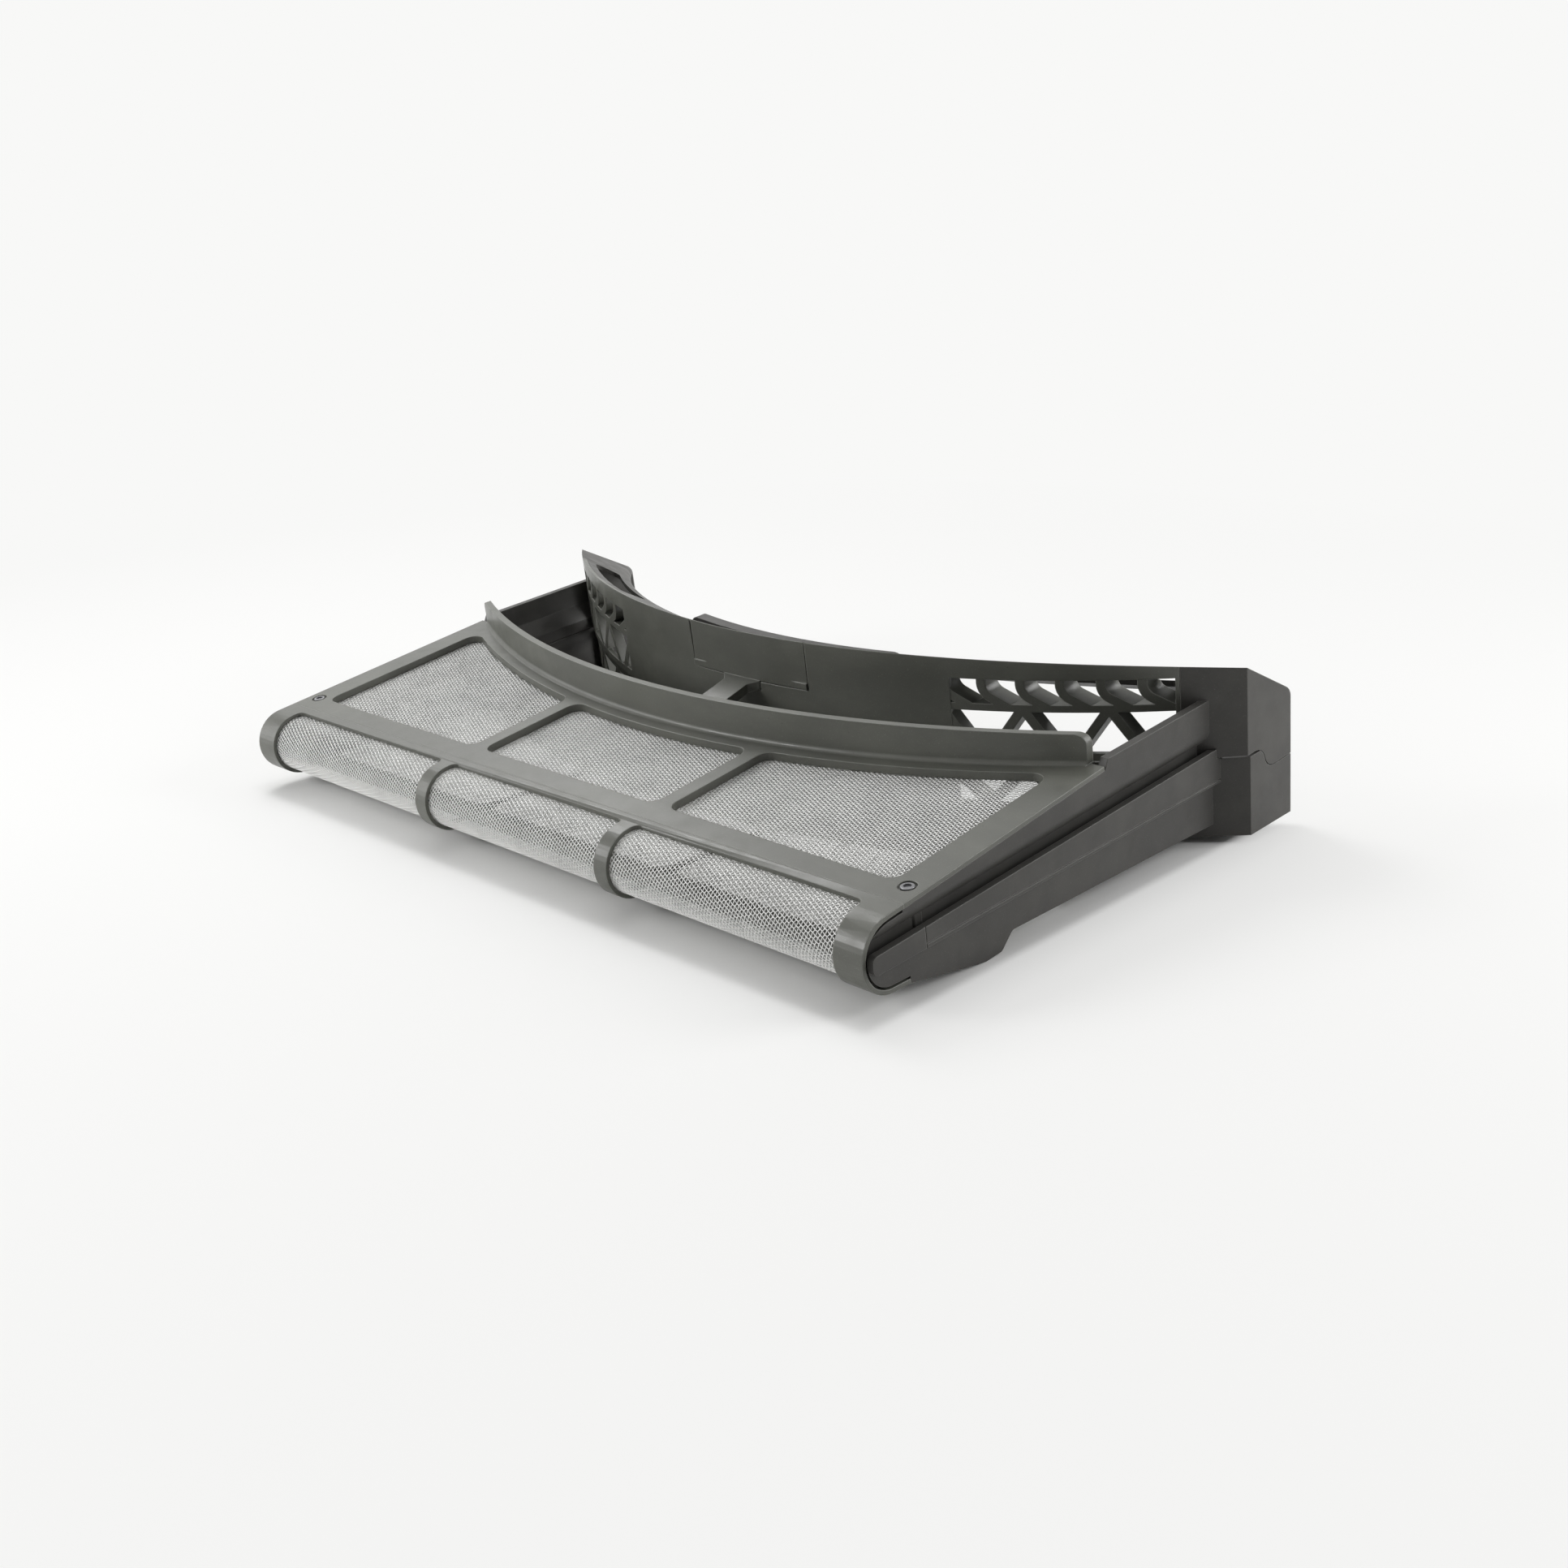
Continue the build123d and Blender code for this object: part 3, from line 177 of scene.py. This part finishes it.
def moulded_polypropylene(name, base, cloud, pale_wear_and_highlight, roughness, mirror):
    """Injection moulded polypropylene from a spark-eroded mould.

    The skin is satin, with a fine even grain. Slow flow of the melt leaves soft lighter clouds, handling
    leaves matt and polished patches, and edges are paler, partly from rubbing and partly as a painted
    highlight. Pits of trapped gas are darkened with painted shade. A deep grain mirrors less.
    """
    material, tree, surface = bare_material(name)
    place = tree.nodes.new("ShaderNodeTexCoord").outputs["Object"]
    # Clouds of flow about 25 mm across, drawn out along the fill of the mould
    drawn = add_node(tree, "ShaderNodeMapping", {"Vector": place, "Scale": (0.45, 1.0, 1.0)})
    flow = add_node(
        tree,
        "ShaderNodeTexNoise",
        {"Vector": drawn.outputs["Vector"], "Scale": 1 / FLOW_CLOUD, "Detail": 6.0, "Roughness": 0.62},
    )
    cloudy = add_node(
        tree,
        "ShaderNodeMapRange",
        {"Value": flow.outputs["Fac"], "From Min": 0.38, "From Max": 0.68},
        interpolation_type="SMOOTHSTEP",
    )
    # Grain of the mould, 0.35 mm, about three times coarser than real so that it shows
    grain = add_node(
        tree, "ShaderNodeTexNoise", {"Vector": place, "Scale": 1 / MOULD_GRAIN, "Detail": 2.0}
    )
    # Rubbed patches about 9 mm across
    rub = add_node(
        tree, "ShaderNodeTexNoise", {"Vector": place, "Scale": 1 / RUBBED_PATCH, "Detail": 3.0}
    )
    # Pits of trapped gas about 0.3 mm wide and 3 mm apart, darkened inside the clouds with painted shade
    pits = add_node(tree, "ShaderNodeTexVoronoi", {"Vector": place, "Scale": 1 / PIT_SPACING})
    pitted = add_node(
        tree,
        "ShaderNodeMapRange",
        {"Value": pits.outputs["Distance"], "From Min": 0.1, "From Max": 0.05, "To Max": 0.7},
    )
    pit_shade_mask = add_node(
        tree,
        "ShaderNodeMath",
        {0: pitted.outputs["Result"], 1: cloudy.outputs["Result"]},
        operation="MULTIPLY",
    )
    # Edges rounded to 0.5 mm, and the same rounding as a mask for paler edges, partly wear and partly a
    # painted highlight
    rounded = add_node(tree, "ShaderNodeBevel", {"Radius": EDGE_ROUND}, samples=6)
    facing = tree.nodes.new("ShaderNodeNewGeometry").outputs["Normal"]
    agree = add_node(
        tree,
        "ShaderNodeVectorMath",
        {0: rounded.outputs["Normal"], 1: facing},
        operation="DOT_PRODUCT",
    )
    edge = add_node(
        tree,
        "ShaderNodeMapRange",
        {"Value": agree.outputs["Value"], "From Min": 0.98, "From Max": 0.72, "To Max": 0.8},
    )
    clouds = add_node(
        tree,
        "ShaderNodeMix",
        {0: cloudy.outputs["Result"], 6: linear(base), 7: linear(cloud)},
        data_type="RGBA",
    )
    specks = add_node(
        tree,
        "ShaderNodeMapRange",
        {"Value": grain.outputs["Fac"], "From Min": 0.64, "From Max": 0.78, "To Max": 0.35},
    )
    speckled = add_node(
        tree,
        "ShaderNodeMix",
        {0: specks.outputs["Result"], 6: clouds.outputs[2], 7: linear(pale_wear_and_highlight)},
        data_type="RGBA",
    )
    # Painted shade in the pits
    marked = add_node(
        tree,
        "ShaderNodeMix",
        {0: pit_shade_mask.outputs["Value"], 6: speckled.outputs[2], 7: linear(PIT_SHADE)},
        data_type="RGBA",
    )
    # Paler edges, partly wear from rubbing and partly a painted highlight along them
    edge_wear_and_highlight = add_node(
        tree,
        "ShaderNodeMix",
        {0: edge.outputs["Result"], 6: marked.outputs[2], 7: linear(pale_wear_and_highlight)},
        data_type="RGBA",
    )
    gloss = add_node(
        tree,
        "ShaderNodeMapRange",
        {
            "Value": rub.outputs["Fac"],
            "From Min": 0.3,
            "From Max": 0.7,
            "To Min": roughness + GLOSS_SPREAD,
            "To Max": roughness - GLOSS_SPREAD,
        },
    )
    bump = add_node(
        tree,
        "ShaderNodeBump",
        {
            "Strength": 0.18,
            "Distance": GRAIN_HEIGHT,
            "Height": grain.outputs["Fac"],
            "Normal": rounded.outputs["Normal"],
        },
    )
    skin = add_node(
        tree,
        "ShaderNodeBsdfPrincipled",
        {
            "Base Color": edge_wear_and_highlight.outputs[2],
            "Roughness": gloss.outputs["Result"],
            "IOR": 1.49,
            "Specular IOR Level": mirror,
            "Normal": bump.outputs["Normal"],
        },
    )
    tree.links.new(skin.outputs["BSDF"], surface)
    return material


def polyester_monofilament():
    """Woven polyester monofilament, heat set and moulded into the frames.

    The strands are smooth and round, so each one has a thin bright line along it. Dust leaves a few
    greyer patches in the gauze.
    """
    material, tree, surface = bare_material("woven_polyester_monofilament")
    place = tree.nodes.new("ShaderNodeTexCoord").outputs["Object"]
    # Dusty patches about 18 mm across
    dust = add_node(
        tree, "ShaderNodeTexNoise", {"Vector": place, "Scale": 1 / DUST_PATCH, "Detail": 5.0}
    )
    dusty = add_node(
        tree,
        "ShaderNodeMapRange",
        {"Value": dust.outputs["Fac"], "From Min": 0.4, "From Max": 0.75},
        interpolation_type="SMOOTHSTEP",
    )
    # Drawn filament thickens and thins over about 4 mm
    drawn = add_node(
        tree, "ShaderNodeTexNoise", {"Vector": place, "Scale": 1 / FILAMENT_DRAW, "Detail": 2.0}
    )
    shade = add_node(
        tree,
        "ShaderNodeMix",
        {0: dusty.outputs["Result"], 6: linear("#fafaf8"), 7: linear("#ececea")},
        data_type="RGBA",
    )
    gloss = add_node(
        tree,
        "ShaderNodeMapRange",
        {
            "Value": drawn.outputs["Fac"],
            "From Min": 0.3,
            "From Max": 0.7,
            "To Min": 0.28,
            "To Max": 0.42,
        },
    )
    strand = add_node(
        tree,
        "ShaderNodeBsdfPrincipled",
        {"Base Color": shade.outputs[2], "Roughness": gloss.outputs["Result"], "IOR": 1.57},
    )
    tree.links.new(strand.outputs["BSDF"], surface)
    return material


def blackened_steel():
    """Cold headed steel, blackened.

    A grey metal skin with a soft sheen and the cloudy bloom of its finish.
    """
    material, tree, surface = bare_material("blackened_steel")
    place = tree.nodes.new("ShaderNodeTexCoord").outputs["Object"]
    # Bloom of the finish about 0.8 mm across
    bloom = add_node(
        tree, "ShaderNodeTexNoise", {"Vector": place, "Scale": 1 / PLATING_BLOOM, "Detail": 4.0}
    )
    shade = add_node(
        tree,
        "ShaderNodeMix",
        {0: bloom.outputs["Fac"], 6: linear("#6a6a6a"), 7: linear("#86868a")},
        data_type="RGBA",
    )
    gloss = add_node(
        tree, "ShaderNodeMapRange", {"Value": bloom.outputs["Fac"], "To Min": 0.3, "To Max": 0.55}
    )
    bump = add_node(
        tree,
        "ShaderNodeBump",
        {"Strength": 0.1, "Distance": BLOOM_HEIGHT, "Height": bloom.outputs["Fac"]},
    )
    metal = add_node(
        tree,
        "ShaderNodeBsdfPrincipled",
        {
            "Base Color": shade.outputs[2],
            "Metallic": 1.0,
            "Roughness": gloss.outputs["Result"],
            "Normal": bump.outputs["Normal"],
        },
    )
    tree.links.new(metal.outputs["BSDF"], surface)
    return material


def woven_gauze():
    """Flat square of plain-woven gauze round the origin, with its strands along X and Y."""
    bpy.ops.object.select_all(action="DESELECT")
    wave = STRAND / 2
    reach = STRAND_REPEATS * WEAVE_PITCH
    bpy.ops.mesh.primitive_circle_add(
        vertices=STRAND_SIDES,
        radius=STRAND / 2,
        location=(-reach, -reach, wave),
        rotation=(0, radians(90), 0),
    )
    gauze = bpy.context.object
    bpy.ops.object.transform_apply()
    # One wave of a strand, over one crossing and under the next
    bpy.ops.object.mode_set(mode="EDIT")
    bpy.ops.mesh.select_all(action="SELECT")
    bpy.ops.mesh.extrude_region_move(TRANSFORM_OT_translate={"value": (WEAVE_PITCH, 0, -2 * wave)})
    bpy.ops.mesh.extrude_region_move(TRANSFORM_OT_translate={"value": (WEAVE_PITCH, 0, 2 * wave)})
    bpy.ops.object.mode_set(mode="OBJECT")
    rows = (
        ("strand", STRAND_REPEATS, (2 * WEAVE_PITCH, 0, 0)),
        ("pair", 2, (WEAVE_PITCH, WEAVE_PITCH, 0)),
        ("warp", STRAND_REPEATS, (0, 2 * WEAVE_PITCH, 0)),
    )
    for name, count, offset in rows:
        array = gauze.modifiers.new(name, "ARRAY")
        array.count = count
        array.use_relative_offset = False
        array.use_constant_offset = True
        array.constant_offset_displace = offset
        array.use_merge_vertices = name == "strand"
        array.merge_threshold = STRAND / 20
        bpy.ops.object.modifier_apply(modifier=name)
    # The weft is the warp turned a quarter and moved on by one crossing
    bpy.ops.object.duplicate()
    weft = bpy.context.object
    weft.rotation_euler.z = radians(90)
    weft.location.x = WEAVE_PITCH
    bpy.ops.object.transform_apply()
    gauze.select_set(True)
    bpy.context.view_layer.objects.active = gauze
    bpy.ops.object.join()
    bpy.ops.object.mode_set(mode="EDIT")
    bpy.ops.mesh.select_all(action="SELECT")
    bpy.ops.mesh.normals_make_consistent(inside=False)
    bpy.ops.mesh.select_all(action="DESELECT")
    bpy.ops.mesh.select_mode(type="VERT")
    bpy.ops.object.mode_set(mode="OBJECT")
    bpy.ops.object.shade_smooth()
    return gauze


def over_profile(s, h, depth):
    """U and V of points on a sheet that follows the filter's side outline under its outer face.

    S runs along the outline: forward of 0 it goes round the nose and back under the lower panel.
    H is the height over the sheet's middle.
    """
    radius = NOSE_RADIUS - depth
    turn = radians(180) - UPPER_SLOPE - LOWER_SLOPE
    angle = radians(90) + UPPER_SLOPE + np.clip(-s / radius, 0, turn)
    run = np.clip(s, 0, None) - np.clip(-s - turn * radius, 0, None)
    u = (radius + h) * np.cos(angle) + run * np.sin(angle)
    v = (radius + h) * np.sin(angle) - run * np.cos(angle)
    return u, v


def in_window(x, u, centre, width):
    """True where a point lies in a panel window with rounded corners, grown by the gauze's margin."""
    side = width / 2 + GAUZE_MARGIN
    front = WINDOW_FRONT - GAUZE_MARGIN
    rear = WINDOW_RADIUS - GAUZE_MARGIN
    corner = WINDOW_CORNER + GAUZE_MARGIN
    inside = (abs(x - centre) < side) & (u > front) & (np.hypot(x, WINDOW_CENTRE - u) > rear)
    for sign in (-1, 1):
        corner_x = centre + sign * (side - corner)
        corner_rear = WINDOW_CENTRE - sqrt((rear + corner) ** 2 - corner_x**2)
        outer = sign * (x - corner_x) > 0
        for corner_u, past in ((front + corner, u < front + corner), (corner_rear, u > corner_rear)):
            inside &= ~(outer & past & (np.hypot(x - corner_x, u - corner_u) > corner))
    return inside


def cut_gauze(gauze, name, centre, start, depth, kept):
    """Copy of the gauze laid on the side outline at a place along it, cut to what is kept."""
    bpy.ops.object.select_all(action="DESELECT")
    gauze.select_set(True)
    bpy.context.view_layer.objects.active = gauze
    bpy.ops.object.duplicate()
    sheet = bpy.context.object
    sheet.name = name
    points = np.zeros(3 * len(sheet.data.vertices))
    sheet.data.vertices.foreach_get("co", points)
    points = points.reshape(-1, 3)
    turned = np.array(((cos(SLANT), sin(SLANT)), (-sin(SLANT), cos(SLANT))))
    crossings = WEAVE_PITCH * np.round(points[:, :2] / WEAVE_PITCH) @ turned
    flat = points[:, :2] @ turned
    u, v = over_profile(crossings[:, 1] + start, 0.0, depth)
    keep = kept(crossings[:, 0] + centre, u, v)
    u, v = over_profile(flat[:, 1] + start, points[:, 2], depth)
    placed = np.column_stack(to_table(flat[:, 0] + centre, u, v))
    sheet.data.vertices.foreach_set("co", placed.ravel())
    sheet.data.vertices.foreach_set("select", ~keep)
    bpy.ops.object.mode_set(mode="EDIT")
    bpy.ops.mesh.delete(type="VERT")
    bpy.ops.mesh.select_all(action="SELECT")
    bpy.ops.mesh.delete_loose()
    bpy.ops.mesh.select_all(action="SELECT")
    bpy.ops.mesh.fill_holes(sides=STRAND_SIDES)
    bpy.ops.object.mode_set(mode="OBJECT")
    return sheet


# Finishes; each plastic's pale tone serves grain specks, edge wear and a painted highlight along edges
olive_plastic = moulded_polypropylene(
    "moulded_olive_polypropylene",
    base="#5a5b55",
    cloud="#63645d",
    pale_wear_and_highlight="#a3a49d",
    roughness=0.36,
    mirror=0.45,
)
grey_plastic = moulded_polypropylene(
    "moulded_grey_polypropylene",
    base="#434240",
    cloud="#4b4a47",
    pale_wear_and_highlight="#82817d",
    roughness=0.42,
    mirror=0.28,
)
gauze_strands = polyester_monofilament()
screw_steel = blackened_steel()
finishes = {
    "upper_shell": grey_plastic,
    "lower_shell": grey_plastic,
    "upper_frame": olive_plastic,
    "lower_frame": olive_plastic,
    "upper_grille": olive_plastic,
    "lower_grille": olive_plastic,
    "latch_lever": olive_plastic,
    "upper_screw_left": screw_steel,
    "upper_screw_right": screw_steel,
    "lower_screw_left": screw_steel,
    "lower_screw_right": screw_steel,
}
for name, finish in finishes.items():
    for slot in nodes[name].material_slots:
        slot.material = finish

# Gauze
gauze = woven_gauze()
gauze.data.materials.append(gauze_strands)
nose_turn = (radians(180) - UPPER_SLOPE - LOWER_SLOPE) * (NOSE_RADIUS - PANEL_DEPTH - STRAND)
panel_middle = (WINDOW_FRONT + WINDOW_CENTRE - WINDOW_RADIUS) / 2 + GAUZE_SHIFT
for side, (centre, width, run, area) in WINDOWS.items():
    cut = width + 2 * GAUZE_MARGIN
    for half, start in (("upper", panel_middle), ("lower", -nose_turn - panel_middle)):
        sheet = cut_gauze(
            gauze,
            f"{half}_gauze_{side}",
            centre,
            start,
            PANEL_DEPTH + STRAND,
            lambda x, u, v: in_window(x, u, centre, width) & ((v > 0) == (half == "upper")),
        )
        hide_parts(f"{half}_mesh_{side}")
        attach(sheet, f"{half}_half")
    sheet = cut_gauze(
        gauze,
        f"nose_gauze_{side}",
        centre,
        -nose_turn / 2,
        NOSE_DEPTH + STRAND,
        lambda x, u, v: (abs(x - centre) < cut / 2) & (u < NOSE_WINDOW_END + GAUZE_MARGIN),
    )
    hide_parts(f"nose_mesh_{side}")
    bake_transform(sheet)
bpy.data.objects.remove(gauze)

# Nose strip, the flexible joint between the halves
bpy.ops.object.select_all(action="DESELECT")
bpy.ops.mesh.primitive_cube_add()
strip = bpy.context.object
strip.name = "nose_skin"
strip.data = nodes["nose_strip"].data.copy()
bpy.ops.object.mode_set(mode="EDIT")
bpy.ops.mesh.select_all(action="SELECT")
bpy.ops.mesh.remove_doubles(threshold=1e-6)
bpy.ops.object.mode_set(mode="OBJECT")
bpy.ops.object.shade_smooth_by_angle(angle=radians(30))
for slot in strip.material_slots:
    slot.material = olive_plastic
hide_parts("nose_strip")
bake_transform(strip)

# Table, a pale sheet that fades into the white behind it. Close to the filter it glows, a painted light
# that pales the filter's shadow; under the filter it does not glow.
bpy.ops.object.select_all(action="DESELECT")
bpy.ops.mesh.primitive_plane_add(size=TABLE_SIZE)
table = bpy.context.object
table.name = "table"
material, tree, surface = bare_material("white_card")
place = tree.nodes.new("ShaderNodeTexCoord").outputs["Object"]
seen = background_rays(tree)
reach = add_node(tree, "ShaderNodeVectorMath", {0: place}, operation="ABSOLUTE")
past = add_node(
    tree, "ShaderNodeVectorMath", {0: reach.outputs["Vector"], 1: FOOTPRINT}, operation="SUBTRACT"
)
outside = add_node(
    tree, "ShaderNodeVectorMath", {0: past.outputs["Vector"], 1: (0, 0, 0)}, operation="MAXIMUM"
)
away = add_node(tree, "ShaderNodeVectorMath", {0: outside.outputs["Vector"]}, operation="LENGTH")
# Glow rises with distance from the footprint: painted light on the shadow close by, the white backdrop
# far off
fade = add_node(tree, "ShaderNodeValToRGB", {"Fac": away.outputs["Value"]})
fade.color_ramp.elements[0].color = (0, 0, 0, 1)
fade.color_ramp.elements[1].position = GLOW_END
for distance, share in GLOW_STEPS:
    fade.color_ramp.elements.new(distance).color = (share, share, share, 1)
white = add_node(tree, "ShaderNodeMath", {0: fade.outputs["Color"], 1: seen}, operation="MULTIPLY")
card = add_node(
    tree, "ShaderNodeBsdfPrincipled", {"Base Color": linear("#f4f4f3"), "Roughness": 0.9}
)
glow = add_node(tree, "ShaderNodeEmission", {"Color": linear(BACKDROP), "Strength": 1.0})
mixed = add_node(
    tree,
    "ShaderNodeMixShader",
    {0: white.outputs["Value"], 1: card.outputs["BSDF"], 2: glow.outputs["Emission"]},
)
tree.links.new(mixed.outputs["Shader"], surface)
table.data.materials.append(material)

# Room: white to the camera. On the filter it is bright from behind and dark from the camera's side.
world = bpy.data.worlds.new("room")
bpy.context.scene.world = world
world.use_nodes = True
tree = world.node_tree
tree.nodes.clear()
seen = background_rays(tree)
place = tree.nodes.new("ShaderNodeTexCoord").outputs["Generated"]
behind = add_node(tree, "ShaderNodeVectorMath", {0: place, 1: BEHIND}, operation="DOT_PRODUCT")
walls = add_node(
    tree,
    "ShaderNodeMapRange",
    {
        "Value": behind.outputs["Value"],
        "From Min": -0.2,
        "From Max": 0.8,
        "To Min": FRONT_WALL,
        "To Max": REAR_WALL,
    },
    interpolation_type="SMOOTHSTEP",
)
strength = add_node(
    tree,
    "ShaderNodeMix",
    {0: seen, 2: walls.outputs["Result"], 3: 1.0},
)
sky = add_node(
    tree,
    "ShaderNodeBackground",
    {"Color": linear(BACKDROP), "Strength": strength.outputs[0]},
)
end = tree.nodes.new("ShaderNodeOutputWorld")
tree.links.new(sky.outputs["Background"], end.inputs["Surface"])

# Softboxes: a wide one overhead, two low ones that the nose mirrors, one over the left end and one
# behind the right. Each has its place, its size in metres and its power in watts, and faces the filter.
softboxes = (
    ("overhead", (-0.1, 0.2, 1.2), 1.3, 4.0),
    ("front", (-0.56, -0.84, 0.44), 0.32, 4.4),
    ("left", (-1.15, -0.66, 0.35), 0.7, 3.4),
    ("upper_left", (-0.75, 0.2, 0.85), 0.5, 4.2),
    ("right_rear", (0.75, 0.6, 0.4), 0.5, 5.5),
)
for name, location, size, energy in softboxes:
    bpy.ops.object.light_add(type="AREA", location=location)
    softbox = bpy.context.object
    softbox.name = f"softbox_{name}"
    softbox.data.size = size
    softbox.data.energy = energy
    softbox.rotation_euler = (-softbox.location).to_track_quat("-Z", "Y").to_euler()

# Camera
tilt = Matrix.Rotation(REST_TILT, 3, "X")
back = tilt @ Vector(CAMERA_BACK)
up = tilt @ Vector(CAMERA_UP)
bpy.ops.object.camera_add(location=to_table(*CAMERA_PLACE))
camera = bpy.context.object
camera.rotation_euler = Matrix((up.cross(back), up, back)).transposed().to_euler()
camera.data.lens = CAMERA_LENS
camera.data.sensor_width = 36
bpy.context.scene.camera = camera
bpy.context.scene.view_settings.view_transform = "Standard"
